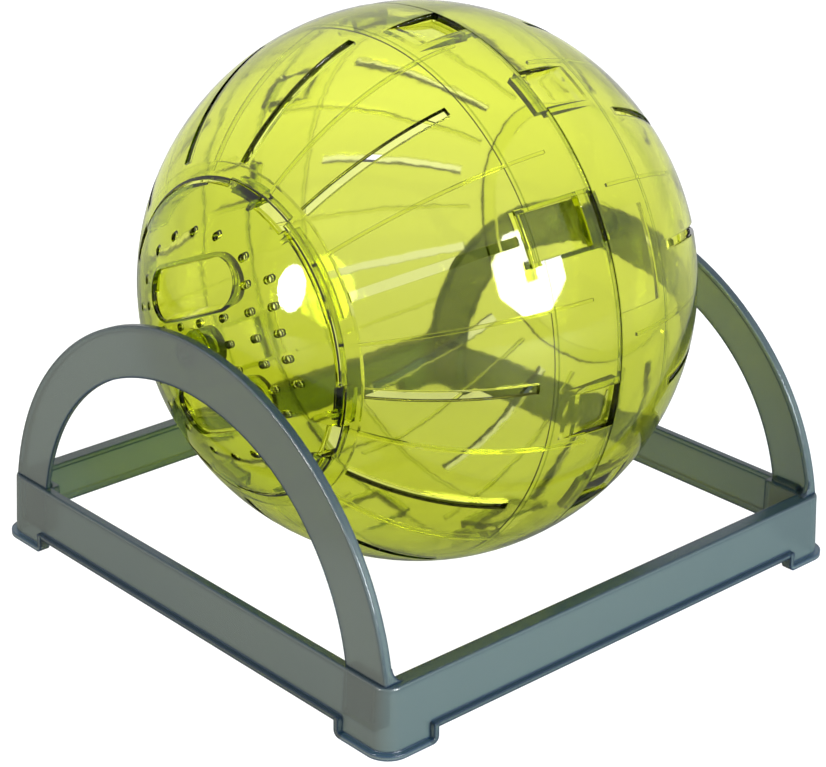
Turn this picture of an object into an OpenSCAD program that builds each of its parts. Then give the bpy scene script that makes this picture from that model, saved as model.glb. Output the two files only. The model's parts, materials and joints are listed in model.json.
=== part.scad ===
// Hamster ball on its stand: a clear ball of two halves, one of them with a twist-out
// door, turning on two pegs between the arches of a tinted stand.
// Frame: +Z up, origin under the centre of the stand, the ball turns about Y.

/* [Ball] */
// Outside radius of the ball
ball_r = 90; // [80:1:95]
// Thickness of the ball's wall
ball_wall = 2; // [1.6:0.1:2.6]
// Free height between the ball and the table
ball_lift = 4.2; // [3:0.1:10]
// How much thicker the wall is in the belt beside the seam
belt_step = 0.4; // [0.3:0.1:0.8]
// Angle between the pole and the belt's edge, in degrees
belt_polar = 75; // [72:1:77]
// Gap between the rims of the two halves
seam_gap = 0.4; // [0.2:0.05:0.5]

/* [Air slots and traction ribs] */
// Number of slots in each half, with a rib between each two
slot_count = 12; // [6:2:12]
// Width of a slot
slot_w = 3; // [2:0.1:4]
// Distance between the ring round the door hole and a slot's start
slot_room = 2.1; // [1.5:0.1:8]
// Angle from the pole at which a slot ends, in degrees
slot_polar_out = 71; // [60:0.5:71]
// Width of a rib
rib_w = 1; // [0.8:0.1:2]
// How far a rib stands in from the wall
rib_h = 1.2; // [1.1:0.1:2]
// Angle from the pole at which a rib ends, in degrees
rib_polar_out = 84.5; // [80:0.5:85]

/* [Door] */
// Radius of the door hole in each half
port_r = 49.2; // [46:0.1:50]
// Gap between the door's edge and its hole
port_gap = 0.8; // [0.3:0.05:1]
// Play of the door's tabs and lugs in the ring
door_play = 0.3; // [0.2:0.05:0.5]
// Width of the thick ring round the door hole
ring_w = 4; // [3.5:0.1:6]
// Thickness of that ring
ring_wall = 3; // [2.8:0.1:3.4]
// Thickness of the door
door_wall = 2; // [1.6:0.1:2.6]
// Angle that a lug of the door spans, in degrees
lug_span = 13; // [10:1:14]
// Angle that the door turns to come free, in degrees
door_turn = 14.5; // [14:0.5:15]
// How far a tab of the door reaches out over the web of the ring
door_tab_reach = 1.9; // [1.5:0.1:2]
// Radius of the vent holes
vent_r = 1.3; // [1:0.05:1.3]
// Pitch of the rows of vent holes
vent_pitch = 7.9; // [7.8:0.05:8.2]
// Outside radius of the thick ring round the closed half's hub
pole_ring_r = 47; // [40:0.5:50]
// Width of that ring
pole_ring_w = 4; // [3:0.5:8]
// Half width of a finger well at its mouth
well_r = 8.1; // [7:0.1:8.1]
// How much narrower a finger well is on each side at its floor
well_taper = 1.2; // [0.4:0.1:1.5]
// Overall length of a finger well
well_len = 45; // [36:1:46]
// Depth of a finger well
well_depth = 6; // [4:0.5:8]

/* [Rim catches] */
// Angle that a rim tab spans, in degrees
tab_span = 9.4; // [7:0.1:10]
// How far a tab's pocket reaches from the seam
tab_len = 19.5; // [16:0.5:21]
// How far a tab reaches under the other half
tab_reach = 2.7; // [2:0.1:3.5]
// Angle that a clasp's pocket spans, in degrees
clasp_span = 9.9; // [8:0.1:11]
// How far a clasp's pocket reaches from the seam
clasp_len = 26.5; // [22:0.5:27]
// Depth of a clasp's pocket
clasp_depth = 5.4; // [4.8:0.1:6]
// Depth of the ledge between a clasp's pocket and the seam
ledge_depth = 1; // [0.6:0.1:1.6]
// Angle that a clasp's finger runs on along the seam, in degrees
finger_span = 9.7; // [6:0.1:11]

/* [Stand] */
// Room between the ball and each side of the frame
side_room = 5.4; // [3:0.1:15]
// Room between the ball and each end of the frame
end_room = 7.35; // [6.5:0.05:15]
// Height of the frame's top
base_h = 22.2; // [18:0.2:26]
// Thickness of the frame's walls
base_wall = 2; // [1.6:0.1:3]
// Slant of the walls, in degrees
base_draft = 3; // [1:0.5:4]
// Radius of the frame's corners
corner_r = 5; // [4.5:0.5:8]
// Width of the flange on the two side rails
side_flange_w = 5.4; // [4:0.1:8]
// Width of the flange on the two end rails
end_flange_w = 3; // [2.6:0.1:3]
// How far the lip at the foot of a wall stands out
lip_w = 1.6; // [1:0.1:2.5]
// Clearance under a rail, between two feet
rail_lift = 5; // [3:0.5:8]
// Length of a foot along the end rails
foot_x = 20; // [15:0.5:28]
// Length of a foot along the side rails
foot_y = 18; // [15:0.5:28]

/* [Arches] */
// Thickness of an arch's plate
plate_t = 1.6; // [1.2:0.1:1.8]
// How deep the rim round the outside of an arch is
rim_d = 3.2; // [2.6:0.1:3.4]
// Thickness of that rim
rim_w = 1.8; // [1.5:0.1:2.2]
// How far an arch stands back from the frame's end
arch_inset = 1.3; // [1:0.1:1.6]
// Angle at which an arch leans in over the ball, in degrees
arch_lean = 1.3; // [0:0.1:1.5]
// How far an arch rises over the ball's axis
arch_rise = 5.1; // [4.8:0.1:8]
// How much larger the radius of the arch's crown is than the ball's
crown_more = 7; // [5:0.5:9]
// Half angle of the crown, in degrees
crown_half = 51; // [48:0.5:54]
// How much smaller the radius of the arch's flanks is than the ball's
flank_less = 4.6; // [4:0.1:6]
// Height of the arch's band under the crown
band_h = 16.7; // [14:0.1:20]
// How much smaller the radius of the arch's inside is than the ball's
inside_less = 5; // [2:0.5:8]
// Half angle of that inside curve, in degrees
inside_half = 22.5; // [18:0.5:27]
// How much smaller the radius of the inside curve is above each leg
haunch_less = 12.5; // [11:0.5:14]
// Radius of the rim's rounded edges
edge_r = 0.8; // [0.4:0.1:0.8]
// Radius of the fillet from the rim's foot to the frame
root_r = 5; // [3:0.5:8]
// Radius of the peg that carries the ball
peg_r = 3.5; // [3:0.1:3.8]
// How far the peg reaches into the ball
peg_reach = 6; // [4:0.1:7]

/* [Hidden] */
$fn = 96;
overrun = 1;
half_turn = 180;
quarter_turn = 90;

// play in the joints
bore_play = 0.06;
tongue_play = 0.4;
socket_play = 0.1;

// direction of the axis about which one half turns over into the other's place, and
// places of the slots and ribs round the pole, all in degrees
flip_deg = 20.85;
slot_deg = 1;
rib_deg = slot_deg + half_turn / slot_count;
slot_step = 2 * half_turn / slot_count;

// the half: radii of its steps and angles of its catches
in_r = ball_r - ball_wall;
axis_z = ball_r + ball_lift;
belt_wall = ball_wall + belt_step;
belt_r = ball_r - belt_wall;
belt_z = ball_r * cos(belt_polar);
rim_z = seam_gap / 2;
ring_r = port_r + ring_w;
slot_polar_in = asin((ring_r + slot_room) / ball_r);
rib_r = in_r - rib_h;
rib_root = ball_wall / 2;
rib_polar_in = asin((ring_r - ring_w / 4) / ball_r);

tab_count = 4;
tab_deg = slot_deg + slot_step / 4;
tab_r = belt_r - tongue_play;
tab_wall = 1.8;
tab_side = 1.4;
tab_top_r = sqrt(pow(ball_r, 2) - pow(tab_len, 2));
tab_back_r = tab_r - tab_wall;
tab_back_z = sqrt(pow(in_r, 2) - pow(tab_back_r, 2)) + ball_wall / 2;

clasp_count = 2;
clasp_deg = slot_deg + 2 * slot_step;
clasp_r = ball_r - clasp_depth;
clasp_wall = 1.8;
clasp_end_wall = 1.6;
finger_r = tab_r;
finger_wall = 1.8;
finger_top = 5;
finger_over = 1.7;
finger_reach = 3;
clasp_step_z = finger_top - clasp_end_wall;

// the window that the other half's finger moves in, as this half shows it: the angle
// of its middle and the angle that it spans, in degrees
window_deg = 70.5;
window_span = 19.6;

// the door: each tab lies over a web of the ring, with a lug under it, and turns in a
// recess whose open end is the gate that the lug drops through; angles in degrees
door_r = port_r - port_gap;
skirt_step = 0.2;
skirt_out = door_r - skirt_step;
skirt_wall = 1.6;
skirt_in = skirt_out - skirt_wall;
lug_count = 4;
lug_step = 2 * half_turn / lug_count;
lug_deg = 7;
lug_out = door_r + door_tab_reach;
lug_t = 1.8;
ledge_z = sqrt(pow(ball_r - ring_wall, 2) - pow(lug_out, 2));
lug_top = ledge_z - door_play;
lug_bottom = lug_top - lug_t;
gate_slack_deg = 0.8;
gate_span = lug_span + 2 * gate_slack_deg;
gate_r = lug_out + door_play;
web_t = 2.2;
web_z = ledge_z + web_t;
door_tab_span = lug_span + 2.4;
recess_slack_deg = 0.4;
recess_span = door_tab_span + door_turn + 2 * recess_slack_deg;
recess_dip = 0.05;
relief_r = skirt_in + skirt_wall / 4;
relief_span = door_turn + 1;
relief_step_deg = 0.5;
relief_deg = lug_deg + (door_tab_span + relief_span) / 2 + relief_step_deg;
skirt_span = 36;
skirt_deg = relief_deg + (relief_span + skirt_span) / 2 + relief_step_deg;
gusset_span = 1.8;
gusset_step_deg = 0.6;
gusset_reach = 2.6;
gusset_in = skirt_in - gusset_reach;

// the door's face: a bar between two finger wells, turned by an angle in degrees, and
// rows of vent holes
grip_turn = 23.5;
well_off = 18.7;
well_wall = 1.3;
well_swell = 0.03;
well_top = sqrt(pow(ball_r, 2) - pow(well_off, 2));
well_floor = well_top - well_depth;
hub_r = 7.2;
hub_proud = 0.4;
hub_wall = 2.8;
hub_floor = 1.5;
bore_r = peg_r + bore_play;
bore_end = ball_r - peg_reach - door_play;
// vent places as [share of the row pitch along the bar, share of it across the bar]
vent_shares = [
    [2, 0], [3.28, 0], [4.3, 0],
    [0.66, 1], [2, 1], [3.28, 1], [4.3, 1],
    [3.28, 2], [4.3, 2],
    [3.28, 3],
    [0.66, 4.36], [2, 4],
];

// the stand: places worked out from its sizes
half_w = ball_r + side_room;
half_l = ball_r + end_room;
crown_r = ball_r + crown_more;
flank_r = ball_r - flank_less;
inside_r = ball_r - inside_less;
haunch_r = inside_r - haunch_less;
flange_t = 2;
lip_h = 1.6;
draft_tan = tan(base_draft);
foot_end_t = 1.8;
top_edge_r = 1;
foot_round_r = 2.2;
arch_out = half_l - arch_inset;
crown_z = axis_z + arch_rise;
crown_c = crown_z - crown_r;
flank_x = (crown_r - flank_r) * sin(crown_half);
flank_z = crown_c + (crown_r - flank_r) * cos(crown_half);
inside_c = crown_z - band_h - inside_r;
haunch_x = (inside_r - haunch_r) * sin(inside_half);
haunch_z = inside_c + (inside_r - haunch_r) * cos(inside_half);
leg_in = haunch_x + sqrt(pow(haunch_r, 2) - pow(base_h - haunch_z, 2));
leg_out = flank_x + sqrt(pow(flank_r, 2) - pow(base_h - flank_z, 2));
rim_lap = 1.1;
arc_dip = 0.05;
edge_swell = 0.03;
joint_dip = 0.02;
joint_lap = 1;
root_dip = 0.15;
collar_r = 4.4;
collar_t = 1.4;
peg_tip = 0.6;
face_at_axis = arch_out - (axis_z - base_h) * tan(arch_lean);

// the tongue of each leg in its socket in the frame
tongue_step = 1.4;
tongue_w = 10.5;
tongue_in = leg_in + tongue_step;
tongue_out = tongue_in + tongue_w;
tongue_t = 2.6;
tongue_front = half_l - base_wall - socket_play;
tongue_depth = 14;
socket_wall = 1.6;
socket_floor = 1.4;

ball_tint = [0.78, 0.86, 0.25, 0.45];
stand_tint = [0.36, 0.45, 0.50, 0.85];

// A flat wedge between two directions, each in degrees from +X
module wedge(from, to, r) {
    mid = (from + to) / 2;
    reach = 2 * r;
    polygon([[0, 0], reach * [cos(from), sin(from)], reach * [cos(mid), sin(mid)],
             reach * [cos(to), sin(to)]]);
}

// Puts a child that is drawn with its pole along +Z at an angle round the pole,
// counted from the top of the ball as the camera side of the ball turns
module at_lon(lon) {
    rotate([0, 0, quarter_turn - lon]) children();
}

// A bar along a meridian: from one angle off the pole to another, between two radii
module meridian_bar(polar_in, polar_out, r_in, r_out, w) {
    translate([0, w / 2, 0])
        rotate([quarter_turn, 0, 0])
            linear_extrude(w)
                intersection() {
                    difference() {
                        circle(r_out);
                        circle(r_in);
                    }
                    wedge(quarter_turn - polar_out, quarter_turn - polar_in, r_out);
                }
}

// A section drawn as [radius, height], swept over a span that is centred on +X
module swept(span) {
    rotate([0, 0, -span / 2]) rotate_extrude(angle = span) children();
}

// Wall of one half with its belt, its thick ring and, unless closed, the door hole
module half_wall(closed) {
    difference() {
        sphere(ball_r);
        difference() {
            sphere(in_r);
            cylinder(h = belt_z, r = ball_r);
            difference() {
                cylinder(h = ball_r, r = closed ? pole_ring_r : ring_r);
                sphere(ball_r - ring_wall);
                if (closed) cylinder(h = ball_r, r = pole_ring_r - pole_ring_w);
            }
        }
        cylinder(h = belt_z + overrun, r = belt_edge_r());
        intersection() {
            sphere(belt_r);
            translate([0, 0, -ball_r])
                cylinder(h = ball_r + belt_z + overrun, r = ball_r);
        }
        translate([0, 0, rim_z - ball_r - overrun])
            cylinder(h = ball_r + overrun, r = ball_r + overrun);
        if (!closed) cylinder(h = ball_r + overrun, r = port_r);
    }
}

// Radius of the opening where the belt's inner step ends
function belt_edge_r() = sqrt(pow(belt_r, 2) - pow(belt_z, 2));

// Solid behind a tab's pocket, then the tongue that runs on past the seam
module tab_back() {
    swept(tab_span + 2 * tab_side_span())
        polygon([[tab_back_r, rim_z], [tab_back_r, tab_back_z],
                 [sqrt(pow(ball_r - ball_wall / 2, 2) - pow(tab_back_z, 2)), tab_back_z],
                 [ball_r - ball_wall / 2, rim_z]]);
    swept(tab_span)
        polygon([[tab_back_r, -tab_reach], [tab_back_r, rim_z + overrun],
                 [tab_r, rim_z + overrun], [tab_r, -tab_reach]]);
}

function tab_side_span() = tab_side / ball_r * half_turn / PI;

module tab_pocket() {
    swept(tab_span)
        polygon([[tab_r, -overrun], [tab_r, rim_z], [tab_top_r, tab_len],
                 [ball_r + overrun, tab_len], [ball_r + overrun, -overrun]]);
}

// Box behind a clasp's pocket, with the finger that hooks along the seam
module clasp_back() {
    swept(clasp_span + 2 * tab_side_span())
        polygon([[clasp_r - clasp_wall, clasp_step_z],
                 [clasp_r - clasp_wall, clasp_len + clasp_end_wall],
                 [clasp_r + clasp_wall, clasp_len + clasp_end_wall],
                 [ball_r - ball_wall, rim_z], [finger_r - finger_wall, rim_z],
                 [finger_r - finger_wall, clasp_step_z]]);
}

module clasp_pocket() {
    swept(clasp_span)
        polygon([[clasp_r, finger_top], [clasp_r, clasp_len],
                 [ball_r + overrun, clasp_len], [ball_r + overrun, -overrun],
                 [ball_r - ledge_depth, -overrun], [ball_r - ledge_depth, finger_top]]);
}

module clasp_finger() {
    swept(clasp_span)
        translate([finger_r - finger_wall, -finger_reach])
            square([finger_wall, finger_reach + finger_over]);
    run = clasp_span / 2 + finger_span;
    rotate([0, 0, -run / 2])
        swept(run)
            translate([finger_r - finger_wall, -finger_reach])
                square([finger_wall, finger_reach + finger_over]);
}

// Thin window in the belt, in which the other half's finger moves
module window_cut() {
    swept(window_span)
        intersection() {
            circle(in_r);
            translate([belt_r - ball_wall, -overrun])
                square([belt_wall + overrun, belt_z + overrun]);
        }
}

// Recess in the ring for a tab of the door, with the gate at its open end
module ring_recess() {
    at_lon(lug_deg + door_turn / 2)
        swept(recess_span)
            translate([port_r - overrun, web_z])
                square([gate_r - port_r + overrun + recess_dip, ball_r]);
    at_lon(lug_deg + door_turn)
        swept(gate_span)
            translate([port_r - overrun, ledge_z - overrun])
                square([gate_r - port_r + overrun, ball_r]);
}

// Hub that turns on the peg, and its blind bore
module hub() {
    translate([0, 0, bore_end - hub_floor])
        cylinder(h = ball_r - door_wall / 2 - bore_end + hub_floor, r = bore_r + hub_wall);
    translate([0, 0, ball_r - door_wall]) cylinder(h = door_wall + hub_proud, r = hub_r);
}

module hub_bore() {
    translate([0, 0, bore_end])
        cylinder(h = ball_r + hub_proud + overrun - bore_end, r = bore_r);
}

// One half of the ball: with a hole for the door, or closed with a hub of its own
module half(closed) {
    color(ball_tint)
        difference() {
            union() {
                half_wall(closed);
                if (closed) hub();
                for (i = [0 : slot_count - 1])
                    at_lon(rib_deg + i * slot_step)
                        meridian_bar(rib_polar_in, rib_polar_out, rib_r,
                                     in_r + rib_root, rib_w);
                for (i = [0 : tab_count - 1])
                    at_lon(tab_deg + i * 2 * half_turn / tab_count) tab_back();
                for (i = [0 : clasp_count - 1])
                    at_lon(clasp_deg + i * 2 * half_turn / clasp_count) {
                        clasp_back();
                        clasp_finger();
                    }
            }
            for (i = [0 : slot_count - 1])
                at_lon(slot_deg + i * slot_step)
                    meridian_bar(slot_polar_in, slot_polar_out, rib_r - overrun,
                                 ball_r + overrun, slot_w);
            for (i = [0 : tab_count - 1])
                at_lon(tab_deg + i * 2 * half_turn / tab_count) tab_pocket();
            for (i = [0 : clasp_count - 1])
                at_lon(clasp_deg + i * 2 * half_turn / clasp_count) clasp_pocket();
            for (i = [0 : clasp_count - 1])
                at_lon(2 * flip_deg - window_deg + i * 2 * half_turn / clasp_count)
                    window_cut();
            if (closed)
                hub_bore();
            else
                for (i = [0 : lug_count - 1])
                    rotate([0, 0, -i * lug_step]) ring_recess();
        }
}

// A finger well, or the wall round it: it narrows downward from its mouth
module well(grow, low, high) {
    run = well_len / 2 - well_r;
    slope = well_taper / well_depth;
    r_low = well_r + grow - slope * (well_top - low);
    r_high = well_r + grow + slope * (high - well_top);
    translate([-run, 0, 0])
        rotate([quarter_turn, 0, quarter_turn])
            linear_extrude(2 * run)
                polygon([[-r_low, low], [r_low, low], [r_high, high], [-r_high, high]]);
    for (side = [-1, 1])
        translate([side * run, 0, low])
            cylinder(h = high - low, r1 = r_low + well_swell, r2 = r_high + well_swell);
}

module vent_holes() {
    for (sx = [-1, 1])
        for (sy = [-1, 1])
            for (share = vent_shares)
                if (share[1] > 0 || sy > 0)
                    translate([sx * share[0] * vent_pitch, sy * share[1] * vent_pitch,
                               lug_bottom])
                        cylinder(h = ball_r, r = vent_r);
}

// Cap of the ball's sphere that fills the door hole, flush with the ball
module door_cap() {
    intersection() {
        difference() {
            sphere(ball_r);
            sphere(ball_r - door_wall);
        }
        cylinder(h = ball_r + overrun, r = door_r);
    }
}

// A tab, the lug under it on its wall, and a gusset at the lug's end
module door_catch() {
    wall_top = sqrt(pow(ball_r - door_wall / 2, 2) - pow(skirt_out, 2));
    at_lon(lug_deg) {
        swept(door_tab_span)
            intersection() {
                circle(ball_r - recess_dip);
                translate([skirt_in + skirt_wall / 2, web_z + door_play])
                    square([lug_out - skirt_in - skirt_wall / 2, ball_r]);
            }
        swept(lug_span) {
            translate([skirt_in, lug_bottom])
                square([skirt_wall, wall_top - lug_bottom]);
            translate([skirt_out - skirt_wall / 2, lug_bottom])
                square([lug_out - skirt_out + skirt_wall / 2, lug_t]);
        }
    }
    at_lon(skirt_deg)
        swept(skirt_span)
            translate([skirt_in, lug_bottom])
                square([skirt_wall, wall_top - lug_bottom]);
    for (deg = [lug_deg + (lug_span - gusset_span) / 2 - gusset_step_deg,
                skirt_deg - (skirt_span - gusset_span) / 2 + gusset_step_deg])
        at_lon(deg)
            swept(gusset_span)
                polygon([[gusset_in, sqrt(pow(ball_r - door_wall / 2, 2)
                                          - pow(gusset_in, 2))],
                         [skirt_in + skirt_wall / 2, wall_top],
                         [skirt_in + skirt_wall / 2, lug_bottom + lug_t / 2],
                         [skirt_in, lug_bottom + lug_t / 2]]);
}

module door() {
    color(ball_tint)
        difference() {
            union() {
                door_cap();
                for (i = [0 : lug_count - 1])
                    rotate([0, 0, -i * lug_step]) door_catch();
                rotate([0, 0, grip_turn])
                    for (side = [-1, 1])
                        intersection() {
                            translate([0, side * well_off, 0])
                                well(well_wall, well_floor - well_wall, ball_r);
                            sphere(ball_r - door_wall / 2);
                        }
                hub();
            }
            rotate([0, 0, grip_turn]) {
                for (side = [-1, 1])
                    translate([0, side * well_off, 0])
                        well(0, well_floor, ball_r + overrun);
                vent_holes();
            }
            for (i = [0 : lug_count - 1])
                at_lon(relief_deg + i * lug_step)
                    swept(relief_span)
                        translate([relief_r, lug_bottom])
                            square([door_r - relief_r + overrun, ball_r]);
            hub_bore();
        }
}

// Puts a half or a door, drawn with its pole along +Z, at the front of the ball
module at_front() {
    translate([0, 0, axis_z]) rotate([quarter_turn, 0, 0]) children();
}

// Turns the front piece over to the back
module at_back() {
    translate([0, 0, axis_z])
        rotate(a = half_turn, v = [sin(flip_deg), 0, cos(flip_deg)])
            translate([0, 0, -axis_z]) at_front() children();
}

// Outline made of a crown arc and, on each side, a flank arc that runs on from it
module two_arcs(top_c, top_r, half, side_x, side_z, side_r) {
    translate([0, top_c])
        intersection() {
            circle(top_r - arc_dip);
            wedge(quarter_turn - half, quarter_turn + half, top_r);
        }
    for (side = [-1, 1])
        translate([side * side_x, side_z]) circle(side_r);
}

// Cutter that rounds the rim's two outer edges along one arc, less deep by a dip
module edge_cut(r, dip, from, to) {
    rotate([0, 0, from])
        rotate_extrude(angle = to - from)
            for (side = [0, 1])
                translate([r - edge_r + dip, side * rim_d])
                    mirror([0, side])
                        difference() {
                            translate([0, -overrun])
                                square([edge_r + overrun, edge_r + overrun - dip]);
                            translate([0, edge_r - dip])
                                circle(edge_r + edge_swell, $fn = 32);
                        }
}

// Rim round the arch's outside, its edges rounded along the crown, then the flanks
module rim() {
    flank_low = asin((base_h - flank_z - 2 * rim_d) / flank_r);
    difference() {
        difference() {
            linear_extrude(rim_d)
                difference() {
                    two_arcs(crown_c, crown_r, crown_half, flank_x, flank_z, flank_r);
                    two_arcs(crown_c, crown_r - rim_w, crown_half, flank_x, flank_z,
                             flank_r - rim_w);
                    translate([-crown_r, base_h - overrun - 2 * crown_r])
                        square([2 * crown_r, 2 * crown_r]);
                }
            translate([0, crown_c])
                edge_cut(crown_r, 0, quarter_turn - crown_half,
                         quarter_turn + crown_half);
        }
        for (side = [0, 1])
            mirror([side, 0, 0])
                translate([flank_x, flank_z])
                    edge_cut(flank_r, joint_dip, flank_low,
                             quarter_turn - crown_half + joint_lap);
    }
}

// The arch's plate with the collar round its peg, lying flat with its outer face down
module arch_plate() {
    translate([0, base_h + (axis_z - base_h) / cos(arch_lean), plate_t / 2])
        cylinder(h = plate_t / 2 + collar_t, r = collar_r);
    linear_extrude(plate_t)
        difference() {
            two_arcs(crown_c, crown_r - rim_lap, crown_half, flank_x, flank_z,
                     flank_r - rim_lap);
            two_arcs(inside_c, inside_r, inside_half, haunch_x, haunch_z, haunch_r);
            translate([-crown_r, base_h - overrun - 2 * crown_r])
                square([2 * crown_r, 2 * crown_r]);
        }
}

// Fillet that carries the rim's foot on to the top of a side rail
module rim_root() {
    reach = rim_d + root_r;
    intersection() {
        translate([flank_x, reach, flank_z])
            rotate([quarter_turn, 0, 0])
                linear_extrude(reach - edge_r)
                    difference() {
                        circle(flank_r);
                        circle(flank_r - rim_w);
                    }
        rotate([quarter_turn, 0, quarter_turn])
            linear_extrude(crown_r)
                difference() {
                    translate([rim_d / 2, base_h - overrun])
                        square([rim_d / 2 + root_r, root_r + overrun - root_dip]);
                    translate([reach, base_h + root_r - root_dip]) circle(root_r);
                }
    }
}

module arch_face() {
    intersection() {
        union() {
            translate([0, 0, base_h])
                rotate([-arch_lean, 0, 0])
                    translate([0, 0, -base_h])
                        rotate([quarter_turn, 0, 0])
                            mirror([0, 0, 1]) {
                                arch_plate();
                                rim();
                            }
            for (side = [0, 1]) mirror([side, 0, 0]) rim_root();
        }
        translate([-crown_r, -arch_out, base_h])
            cube([2 * crown_r, 2 * arch_out, 2 * crown_r]);
    }
}

// Peg that the ball turns on, drawn outward from the ball's centre
module peg() {
    root = face_at_axis - plate_t / 2;
    tip = ball_r - peg_reach;
    translate([0, 0, tip + peg_tip]) cylinder(h = root - tip - peg_tip, r = peg_r);
    translate([0, 0, tip]) cylinder(h = peg_tip, r1 = peg_r - peg_tip, r2 = peg_r);
}

module arch() {
    color(stand_tint) {
        translate([0, -arch_out, 0]) arch_face();
        for (side = [0, 1])
            mirror([side, 0, 0])
                translate([tongue_in, -tongue_front, base_h - tongue_depth])
                    cube([tongue_out - tongue_in, tongue_t, tongue_depth + overrun]);
        translate([0, 0, axis_z]) rotate([quarter_turn, 0, 0]) peg();
    }
}

// Section of a rail as [inward from its outer edge, height]: wall, flange and lip
module rail_section(low, flange_w) {
    out = draft_tan * (base_h - low);
    lip_out = draft_tan * (base_h - low - lip_h);
    edge_x = top_edge_r * (1 - draft_tan);
    difference() {
        polygon([[0, base_h], [flange_w, base_h], [flange_w, base_h - flange_t],
                 [base_wall, base_h - flange_t], [base_wall - out, low],
                 [-out - lip_w, low], [-out - lip_w, low + lip_h],
                 [-lip_out, low + lip_h]]);
        difference() {
            translate([edge_x - 2 * top_edge_r, base_h - top_edge_r])
                square([2 * top_edge_r, 2 * top_edge_r]);
            translate([edge_x, base_h - top_edge_r]) circle(top_edge_r);
        }
    }
}

// A straight length of rail along +X, its outer edge on the X axis, running inward to +Y
module rail(length, low, flange_w) {
    rotate([quarter_turn, 0, quarter_turn])
        linear_extrude(length) rail_section(low, flange_w);
}

module corner_bend() {
    rotate([0, 0, half_turn])
        rotate_extrude(angle = quarter_turn)
            intersection() {
                translate([corner_r, 0]) mirror([1, 0]) rail_section(0, end_flange_w);
                translate([0, -overrun]) square([2 * half_w, 2 * base_h]);
            }
}

// One corner of the frame at -X -Y: bend, foot walls and the socket for a leg
module frame_corner() {
    translate([-half_w, -half_l, 0]) {
        translate([corner_r, corner_r, 0]) corner_bend();
        difference() {
            union() {
                translate([corner_r, 0, 0]) rail(foot_x - corner_r, 0, end_flange_w);
                translate([0, foot_y, 0])
                    rotate([0, 0, -quarter_turn])
                        rail(foot_y - corner_r, 0, side_flange_w);
                foot_ends();
            }
            rotate([quarter_turn, 0, 0]) foot_rounding(foot_x);
            rotate([quarter_turn, 0, quarter_turn])
                mirror([0, 0, 1]) foot_rounding(foot_y);
        }
    }
}

// Cutter that rounds the lower corner of a foot's end, drawn in the wall's plane
module foot_rounding(length) {
    linear_extrude(2 * corner_r, center = true)
        difference() {
            translate([length - foot_round_r, -foot_round_r])
                square([2 * foot_round_r, 2 * foot_round_r]);
            translate([length - foot_round_r, foot_round_r]) circle(foot_round_r);
        }
}

// Lip of the foot where it turns up to the lip of the rail
module foot_ends() {
    out = draft_tan * base_h + lip_w;
    translate([foot_x - foot_end_t, -out, 0])
        cube([foot_end_t, out + base_wall - draft_tan * base_h, rail_lift + lip_h]);
    translate([-out, foot_y - foot_end_t, 0])
        cube([out + base_wall - draft_tan * base_h, foot_end_t, rail_lift + lip_h]);
}

// Socket behind the end wall that takes a leg's tongue, open at the top
module socket_box() {
    back = tongue_front - tongue_t - socket_play - socket_wall;
    translate([tongue_in - socket_play - socket_wall, -half_l + base_wall / 2,
               base_h - tongue_depth - socket_play - socket_floor])
        cube([tongue_out - tongue_in + 2 * (socket_play + socket_wall),
              half_l - base_wall / 2 - back, tongue_depth + socket_play + socket_floor]);
}

module socket_bore() {
    translate([tongue_in - socket_play, -tongue_front - socket_play,
               base_h - tongue_depth - socket_play])
        cube([tongue_out - tongue_in + 2 * socket_play, tongue_t + 2 * socket_play,
              tongue_depth + socket_play + overrun]);
}

module stand_base() {
    color(stand_tint)
        difference() {
            union()
                for (turn = [0, 1])
                    mirror([0, turn, 0]) {
                        for (side = [0, 1])
                            mirror([side, 0, 0]) {
                                frame_corner();
                                socket_box();
                            }
                        translate([-half_w + foot_x, -half_l, 0])
                            rail(2 * (half_w - foot_x), rail_lift, end_flange_w);
                        rotate([0, 0, turn == 0 ? quarter_turn : -quarter_turn])
                            translate([-half_l + foot_y, -half_w, 0])
                                rail(2 * (half_l - foot_y), rail_lift, side_flange_w);
                    }
            for (turn = [0, 1])
                for (side = [0, 1])
                    mirror([0, turn, 0]) mirror([side, 0, 0]) socket_bore();
        }
}

module arch_front() {
    arch();
}

module arch_back() {
    mirror([0, 1, 0]) arch();
}

module half_front() {
    at_front() half(false);
}

module half_back() {
    at_back() half(true);
}

module door_front() {
    at_front() door();
}

stand_base();
arch_front();
arch_back();
half_front();
half_back();
door_front();
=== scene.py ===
import json
import math

import bmesh
import bpy
import numpy
from mathutils import Matrix, Vector


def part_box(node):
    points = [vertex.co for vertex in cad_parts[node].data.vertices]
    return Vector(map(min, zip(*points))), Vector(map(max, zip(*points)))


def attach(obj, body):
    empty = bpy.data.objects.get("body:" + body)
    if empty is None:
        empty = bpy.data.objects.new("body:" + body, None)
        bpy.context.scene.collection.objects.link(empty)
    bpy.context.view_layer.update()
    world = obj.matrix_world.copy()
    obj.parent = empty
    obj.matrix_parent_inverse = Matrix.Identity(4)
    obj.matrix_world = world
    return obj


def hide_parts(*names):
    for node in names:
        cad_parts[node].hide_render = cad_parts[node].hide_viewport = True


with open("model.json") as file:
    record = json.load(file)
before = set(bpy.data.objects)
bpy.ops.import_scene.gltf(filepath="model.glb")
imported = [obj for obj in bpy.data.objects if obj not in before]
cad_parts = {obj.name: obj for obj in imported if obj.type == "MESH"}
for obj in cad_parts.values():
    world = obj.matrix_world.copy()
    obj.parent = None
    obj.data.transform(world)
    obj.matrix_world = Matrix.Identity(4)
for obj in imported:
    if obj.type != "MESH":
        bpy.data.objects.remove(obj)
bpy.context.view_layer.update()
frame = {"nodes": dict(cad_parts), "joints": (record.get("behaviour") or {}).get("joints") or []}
nodes = frame["nodes"]
print("frame loaded:", ", ".join(sorted(nodes)))

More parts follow.
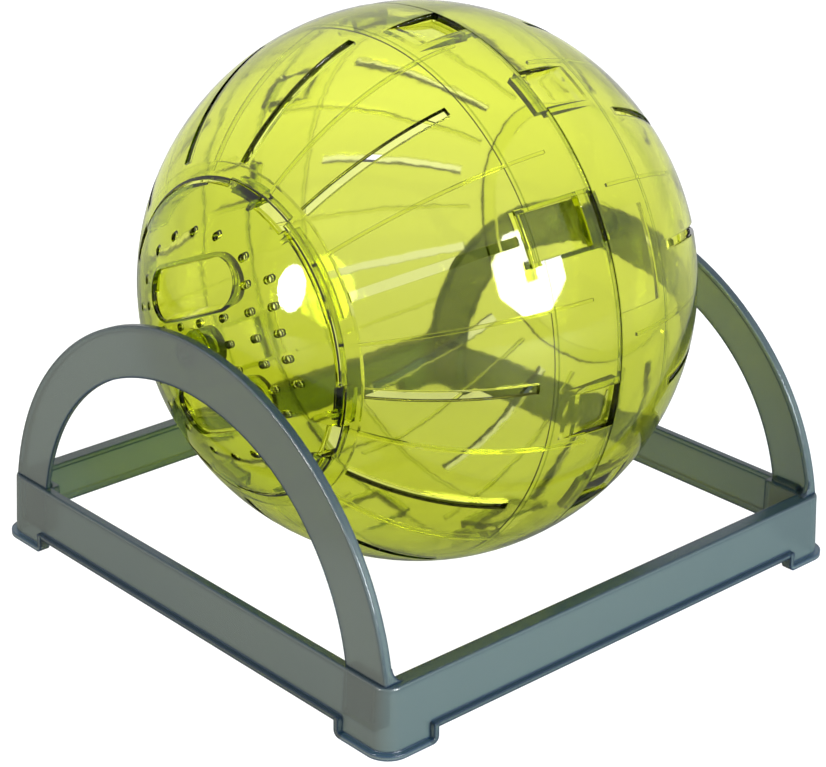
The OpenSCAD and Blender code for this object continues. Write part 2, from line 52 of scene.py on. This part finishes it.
# The ball as the CAD has it, in metres: it spins about its centre, and the front half reaches its radius
spin = next(joint for joint in frame["joints"] if joint["name"] == "ball_spin")
ball = {"centre": Vector(spin["pos_m"]), "radius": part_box("half_front")[1].x}


# Shader arithmetic
class Val:  # a node socket that takes part in arithmetic
    def __init__(self, graph, socket):
        self.graph, self.socket = graph, socket

    def __add__(self, other):
        return self.graph.math("ADD", self, other)

    def __radd__(self, other):
        return self.graph.math("ADD", other, self)

    def __sub__(self, other):
        return self.graph.math("SUBTRACT", self, other)

    def __rsub__(self, other):
        return self.graph.math("SUBTRACT", other, self)

    def __mul__(self, other):
        return self.graph.math("MULTIPLY", self, other)

    def __rmul__(self, other):
        return self.graph.math("MULTIPLY", other, self)

    def __pow__(self, other):
        return self.graph.math("POWER", self, other)

    def __abs__(self):
        return self.graph.math("ABSOLUTE", self)

    def clamped(self):  # held between 0 and 1
        return self.graph.math("ADD", self, 0.0, clamp=True)


class Graph:  # one node tree, for a material or for the world
    def __init__(self, owner):
        owner.use_nodes = True
        self.owner, self.tree = owner, owner.node_tree

    def math(self, kind, a, b=0.0, clamp=False):
        return self.add("Math", {"operation": kind, "use_clamp": clamp}, {0: a, 1: b})

    def add(self, kind, settings=None, sockets=None, out=0):
        node = self.tree.nodes.new("ShaderNode" + kind)
        for key, value in (settings or {}).items():
            setattr(node, key, value)
        for key, value in (sockets or {}).items():
            self.feed(node.inputs[key], value)
        return Val(self, node.outputs[out])

    def feed(self, socket, value):
        if isinstance(value, Val):
            self.tree.links.new(value.socket, socket)
        elif hasattr(socket.default_value, "__len__") and len(value) == 3 and len(socket.default_value) == 4:
            socket.default_value = (*value, 1.0)
        else:
            socket.default_value = value

    def paint(self, key, value):  # what the plastic's or the paper's own shader takes
        self.feed(self.shader.inputs[key], value)

    def output(self, key, value):
        self.feed(self.tree.nodes["Material Output"].inputs[key], value)

    def mixed(self, factor, low, high):  # a colour between two, by a value
        return self.add("Mix", {"data_type": "RGBA"}, {0: factor, 6: low, 7: high}, 2)

    def grey(self, value):
        return self.add("CombineColor", None, {0: value, 1: value, 2: value})

    def along(self, place, axis):
        return self.add("SeparateXYZ", None, {0: place}, axis)

    def noise(self, scale, detail, stretch=None):
        place = self.place
        if stretch:
            place = self.add("Mapping", None, {"Vector": place, "Scale": stretch})
        return self.add("TexNoise", {"noise_dimensions": "3D"},
                        {"Vector": place, "Scale": scale, "Detail": detail})


def material(name, constants):
    graph = Graph(bpy.data.materials.new(name))
    graph.shader = graph.tree.nodes["Principled BSDF"]
    for key, value in constants.items():
        graph.paint(key, value)
    graph.place = graph.add("TexCoord", None, None, "Object")
    return graph


def deepen(graph, colour, density):  # plastic that gets darker with the way light goes through it
    graph.output("Volume", graph.add("VolumeAbsorption", None, {"Color": colour, "Density": density}))


def wear(graph, *pieces):
    for piece in pieces:
        piece.data.materials.clear()
        piece.data.materials.append(graph.owner)


# Camera: the photograph's own place and lens, in metres, degrees and millimetres
view = {"place": (0.5164, -0.4747, 0.3619), "azimuth": 47.49, "elevation": 23.40, "roll": 0.71,
        "lens": 101.2, "sensor": 36.0, "clip": (0.01, 50)}


def makeCamera():
    azimuth, elevation, roll = (math.radians(view[k]) for k in ("azimuth", "elevation", "roll"))
    back = Vector((math.sin(azimuth) * math.cos(elevation), -math.cos(azimuth) * math.cos(elevation),
                   math.sin(elevation)))
    side = Vector((math.cos(azimuth), math.sin(azimuth), 0))
    up = back.cross(side)
    turned = side * math.cos(roll) + up * math.sin(roll)
    upright = back.cross(turned)
    data = bpy.data.cameras.new("camera")
    data.lens, data.sensor_width, data.sensor_fit = view["lens"], view["sensor"], "HORIZONTAL"
    data.clip_start, data.clip_end = view["clip"]
    camera = bpy.data.objects.new("camera", data)
    camera.matrix_world = Matrix((turned, upright, back)).transposed().to_4x4()
    camera.location = view["place"]
    bpy.context.scene.collection.objects.link(camera)
    bpy.context.scene.camera = camera


makeCamera()
bpy.context.scene.view_settings.view_transform = "Standard"
print("camera placed")

# Studio: two soft boxes in a pale room, in metres and watts
softBoxes = {
    "boxRight": {"toward": (0.934, 0.059, 0.324), "away": 1.1, "size": (0.60, 0.64), "power": 26.0,
                 "colour": (0.45, 0.74, 1.0), "corners": 8, "cap": (0.09, 0.14)},
    "boxLeft": {"toward": (-0.038, -0.977, 0.19), "away": 1.1, "size": (0.22, 0.32), "power": 8.0,
                "colour": (1.0, 1.0, 1.0), "corners": 32, "cap": (0, 0)},
}
lampCap = {"dark": 0.97, "edge": 60, "fill": 8}  # the dark middle of a soft box, where its lamp sits
room = {"horizon": 0.72, "above": 1.0, "fade": (0.02, 0.65)}
# White paper, evenly white to the camera; rays through the plastic see a painted shadow on it, darkest near
# the ball, and gloss sees it darker still, a painted dim reflection
sheet = {"half": 6.0, "tone": 0.1, "roughness": 0.7, "seen": 1.0, "near": 0.62, "far": 1.2, "reach": 0.57,
         "mirrored": (0.2, 0.42)}


def makeLamp(name, size, power, colour):  # lights the matt surfaces only
    data = bpy.data.lights.new(name, "AREA")
    data.shape = "ELLIPSE"
    data.size, data.size_y, data.energy, data.color = size[0], size[1], power, colour
    lamp = bpy.data.objects.new(name, data)
    lamp.visible_glossy = lamp.visible_transmission = False
    return lamp


def makeLitFront(name, size, power, corners, cap):  # shows in gloss and through the plastic only
    mesh = bpy.data.meshes.new(name + "_front")
    turns = [2 * math.pi * (k + 0.5) / corners for k in range(corners)]
    mesh.from_pydata([(size[0] / 2 * math.cos(t), size[1] / 2 * math.sin(t), 0) for t in turns], [],
                     [tuple(range(corners))])
    front = bpy.data.objects.new(name + "_front", mesh)
    bright = power / (math.pi * math.pi * size[0] * size[1] / 4)  # as bright as the lamp's own face
    glow = material(name + "_glow", {"Base Color": (0, 0, 0), "Roughness": 1.0, "Emission Strength": bright})
    sides = [glow.along(glow.place, axis) for axis in "XY"]
    inCap = [((cap[k] / 2 - abs(sides[k])) * lampCap["edge"]).clamped() for k in (0, 1)]
    capped = (inCap[0] * inCap[1] * lampCap["fill"]).clamped()
    glow.paint("Emission Color", glow.grey(1 - lampCap["dark"] * capped))
    wear(glow, front)
    front.visible_diffuse = front.visible_shadow = False
    return front


def makeSoftBox(name, toward, away, size, power, colour, corners, cap):
    direction = Vector(toward).normalized()
    for item in (makeLamp(name, size, power, colour), makeLitFront(name, size, power, corners, cap)):
        item.location = ball["centre"] + direction * away
        item.rotation_euler = direction.to_track_quat("Z", "Y").to_euler()
        item.visible_camera = False
        bpy.context.scene.collection.objects.link(item)


def makeRoom():
    world = bpy.data.worlds.new("studio")
    bpy.context.scene.world = world
    sky = Graph(world)
    height = sky.along(sky.add("TexCoord", None, None, "Generated"), "Z")
    fade = sky.add("MapRange", {"interpolation_type": "SMOOTHSTEP"},
                   {"Value": height, "From Min": room["fade"][0], "From Max": room["fade"][1],
                    "To Min": room["horizon"], "To Max": room["above"]})
    sky.feed(sky.tree.nodes["Background"].inputs["Color"], sky.grey(fade))


def makePaper():
    mesh = bpy.data.meshes.new("floor")
    half = sheet["half"]
    mesh.from_pydata([(-half, -half, 0), (half, -half, 0), (half, half, 0), (-half, half, 0)],
                     [], [(0, 1, 2, 3)])
    floor = bpy.data.objects.new("floor", mesh)
    bpy.context.scene.collection.objects.link(floor)
    paper = material("paper", {"Base Color": (sheet["tone"],) * 3, "Roughness": sheet["roughness"],
                               "Emission Strength": 1.0})
    seen = paper.add("LightPath", None, None, "Is Camera Ray")
    mirrored = paper.add("LightPath", None, None, "Is Reflection Ray")
    out = paper.add("VectorMath", {"operation": "LENGTH"}, {0: paper.place}, "Value")
    # painted shadow: the paper's glow drops near the ball for rays through the plastic, and drops again in
    # reflections
    grow = (out * (1 / sheet["reach"])).clamped() ** 2
    shade = sheet["near"] + grow * (sheet["far"] - sheet["near"])
    shadeInReflection = 1 - sheet["mirrored"][0] - grow * (sheet["mirrored"][1] - sheet["mirrored"][0])
    glow = seen * sheet["seen"] + (1 - seen) * shade * (1 - mirrored * shadeInReflection)
    paper.paint("Emission Color", paper.grey(glow))
    wear(paper, floor)


for boxName, settings in softBoxes.items():
    makeSoftBox(boxName, **settings)
makeRoom()
makePaper()
print("studio lit")

# Clear yellow-green ball plastic: lengths in metres, each noise as its scale, detail and stretch
clearPlastic = {
    "clean": (0.99, 0.99, 0.94), "streak": (0.94, 0.95, 0.86), "streaks": (9.0, 3.0),
    "colour": (0.872, 0.899, 0.062), "density": 600.0, "doorDensity": 1000.0, "ior": 1.47,
    "roughness": 0.045, "haze": 0.03, "hazes": (60.0, 4.0),
    "seam": (0.34, 0.40, 0.06), "seamHalf": 0.0007,
    # painted shade: the darker line at the belt's step, its place and half width
    "step": (0.38, 0.44, 0.12), "stepAt": 0.0233, "stepHalf": 0.0004,
    "skin": 0.0007, "skinEdge": 2500,
    "wave": 0.0016, "waveStrength": 0.4, "flows": (26.0, 1.5, (1.0, 0.45, 1.0)),
    "ripple": 0.03, "ripples": (260.0, 1.0),
}


def line(off, half):  # 1 along a line, 0 from half its width outward
    return (2 - off * (2 / half)).clamped()


def ballMaterial(name, density):
    look = clearPlastic
    g = material(name, {"IOR": look["ior"], "Transmission Weight": 1.0})
    deepen(g, look["colour"], density)
    streaked = g.mixed(g.noise(*look["streaks"]), look["streak"], look["clean"])
    off = abs(g.along(g.place, "Y"))
    lip = line(off, look["seamHalf"])  # the halves' lips meet in a dark line
    step = line(abs(off - look["stepAt"]), look["stepHalf"])  # painted shade: a darker line where the belt thickens
    g.paint("Base Color", g.mixed(lip, g.mixed(step, streaked, look["step"]), look["seam"]))
    g.paint("Roughness", g.noise(*look["hazes"]) * look["haze"] + (look["roughness"] - look["haze"] / 2))
    # the outside is polished, and the inside follows the melt's flow
    out = g.add("VectorMath", {"operation": "DISTANCE"}, {0: g.place, 1: ball["centre"]}, "Value")
    inner = ((ball["radius"] - look["skin"] - out) * look["skinEdge"]).clamped()
    waves = (g.noise(*look["flows"]) + g.noise(*look["ripples"]) * look["ripple"]) * inner
    g.paint("Normal", g.add("Bump", None, {"Strength": look["waveStrength"], "Distance": look["wave"],
                                           "Height": waves}))
    # lamps shine on through the ball
    through = g.add("BsdfTransparent", None, {"Color": look["clean"]})
    shadow = g.add("LightPath", None, None, "Is Shadow Ray")
    solid = Val(g, g.shader.outputs["BSDF"])
    g.output("Surface", g.add("MixShader", None, {0: shadow, 1: solid, 2: through}))
    return g


# The ball's pieces: the CAD's own faces, welded, with true normals on every sphere, in metres and degrees
ballPieces = {"bodies": {"half_front": "ball_front", "half_back": "ball_back", "door_front": "front_door"},
              "weld": 2e-6, "sharpAngle": 28.0, "sameRadius": 1.2e-5, "facing": 0.995}


def smoothNormals(mesh):
    for name in ("custom_normal", "sharp_face", "sharp_edge"):
        if name in mesh.attributes:
            mesh.attributes.remove(mesh.attributes[name])
    mesh.polygons.foreach_set("use_smooth", [True] * len(mesh.polygons))
    mesh.set_sharp_from_angle(angle=math.radians(ballPieces["sharpAngle"]))
    corners = numpy.empty(len(mesh.loops) * 3)
    mesh.corner_normals.foreach_get("vector", corners)
    corners = corners.reshape(-1, 3)
    points = numpy.empty(len(mesh.vertices) * 3)
    mesh.vertices.foreach_get("co", points)
    outward = points.reshape(-1, 3) - numpy.array(ball["centre"])
    radius = numpy.linalg.norm(outward, axis=1)
    outward /= radius[:, None]
    for face in mesh.polygons:
        around = list(face.vertices)
        spread = radius[around]
        side = outward[around] @ numpy.array(face.normal)
        if (spread.max() - spread.min() < ballPieces["sameRadius"]
                and abs(side).min() > ballPieces["facing"]):
            corners[list(face.loop_indices)] = outward[around] * numpy.sign(side)[:, None]
    mesh.normals_split_custom_set(corners.tolist())


def clearPiece(name, body):
    mesh = nodes[name].data.copy()
    shape = bmesh.new()
    shape.from_mesh(mesh)
    bmesh.ops.remove_doubles(shape, verts=shape.verts, dist=ballPieces["weld"])
    shape.to_mesh(mesh)
    shape.free()
    smoothNormals(mesh)
    piece = bpy.data.objects.new(name + "_clear", mesh)
    bpy.context.scene.collection.objects.link(piece)
    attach(piece, body)
    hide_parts(name)
    return piece


ballParts = {name: clearPiece(name, body) for name, body in ballPieces["bodies"].items()}
print("ball pieces smoothed")

# Translucent blue-grey stand plastic: lengths in metres, each noise as its scale and detail
tintedPlastic = {
    "face": (0.212, 0.230, 0.190), "cloud": (0.172, 0.198, 0.176), "clouds": (14.0, 4.0),
    # painted shade: faces that look up get a dark blue tint
    "top": (0.012, 0.042, 0.062), "topFrom": 0.5, "topGain": 3, "topCover": 0.9,
    # painted shade: the dark blue tint of the edge band
    "edge": (0.005, 0.030, 0.070), "edgeGain": 12, "edgeCover": 0.93,
    "round": 0.0006, "band": 0.0017, "bevelSamples": 8,
    "colour": (0.28, 0.55, 0.66), "density": 330.0, "ior": 1.49, "gloss": 0.5, "transmission": 0.62,
    "roughness": 0.24, "haze": 0.1, "hazes": (90.0, 4.0),
    "grain": 0.0003, "grainStrength": 0.15, "grains": (420.0, 3.0),
}


def standMaterial():
    look = tintedPlastic
    g = material("tintedStandPlastic", {"IOR": look["ior"], "Specular IOR Level": look["gloss"],
                                        "Transmission Weight": look["transmission"]})
    deepen(g, look["colour"], look["density"])
    # painted shade: a dark blue band along the rounded edges, as wide as the wall is thick
    rounded, banded = (g.add("Bevel", {"samples": look["bevelSamples"]}, {"Radius": look[wide]})
                       for wide in ("round", "band"))
    flat = g.add("NewGeometry", None, None, "Normal")
    agree = g.add("VectorMath", {"operation": "DOT_PRODUCT"}, {0: banded, 1: flat}, "Value")
    edgeShade = ((1 - agree) * look["edgeGain"]).clamped() * look["edgeCover"]
    # painted shade: faces looking up are tinted darker and bluer
    lift = g.along(g.add("TexCoord", None, None, "Normal"), "Z")
    shadedTop = ((lift - look["topFrom"]) * look["topGain"]).clamped() * look["topCover"]
    clouded = g.mixed(g.noise(*look["clouds"]), look["cloud"], look["face"])
    g.paint("Base Color", g.mixed(edgeShade, g.mixed(shadedTop, clouded, look["top"]), look["edge"]))
    g.paint("Roughness", g.noise(*look["hazes"]) * look["haze"] + (look["roughness"] - look["haze"] / 2))
    g.paint("Normal", g.add("Bump", None, {"Strength": look["grainStrength"], "Distance": look["grain"],
                                           "Height": g.noise(*look["grains"]), "Normal": rounded}))
    return g


for finish, density, names in (("clearBallPlastic", "density", ("half_front", "half_back")),
                               ("clearDoorPlastic", "doorDensity", ("door_front",))):
    wear(ballMaterial(finish, clearPlastic[density]), *(ballParts[name] for name in names),
         *(nodes[name] for name in names))
wear(standMaterial(), *(nodes[name] for name in ("stand_base", "arch_front", "arch_back")))
print("plastics assigned")
